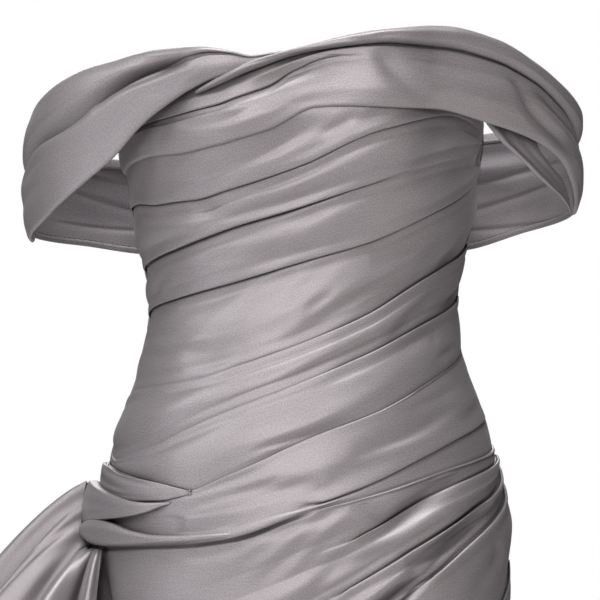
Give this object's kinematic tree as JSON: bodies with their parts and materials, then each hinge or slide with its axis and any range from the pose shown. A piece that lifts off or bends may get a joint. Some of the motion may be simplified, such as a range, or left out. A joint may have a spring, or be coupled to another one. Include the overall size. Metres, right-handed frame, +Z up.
{
  "type": "draped evening gown",
  "caption": "Floor-length off-shoulder satin gown, hollow, with slanting tucks, crossed shoulder bands and a knotted side drape.",
  "frame": {"origin": "centre of the waist, where the wearer's body holds the gown up", "axes": "+Z up, the front faces -Y, +X towards the wearer's left"},
  "size_m": [0.8167, 0.5862, 1.2769],
  "materials": {
    "satin": "soft satin, silver taupe",
    "zip_metal": "satin nickel"
  },
  "bodies": {
    "gown": {"bodice_front": "satin", "bodice_back_left": "satin", "bodice_back_right": "satin", "skirt_front": "satin", "skirt_back": "satin", "hip_sash": "satin", "knot_upper_fold": "satin", "knot_over_fold": "satin", "knot_under_roll": "satin", "side_drape": "satin", "bust_band": "satin", "neck_roll": "satin", "right_arm_band": "satin", "back_band_left": "satin", "back_band_right": "satin", "left_arm_stay": "satin", "zip_slider": "zip_metal"},
    "pull": {"zip_pull": "zip_metal"}
  },
  "joints": [
    {"name": "pull_hinge", "type": "hinge", "parent": "gown", "child": "pull", "pos_m": [0, 0.10218, 0.132], "axis": [1, 0, 0], "range_deg": [0, 170]}
  ]
}
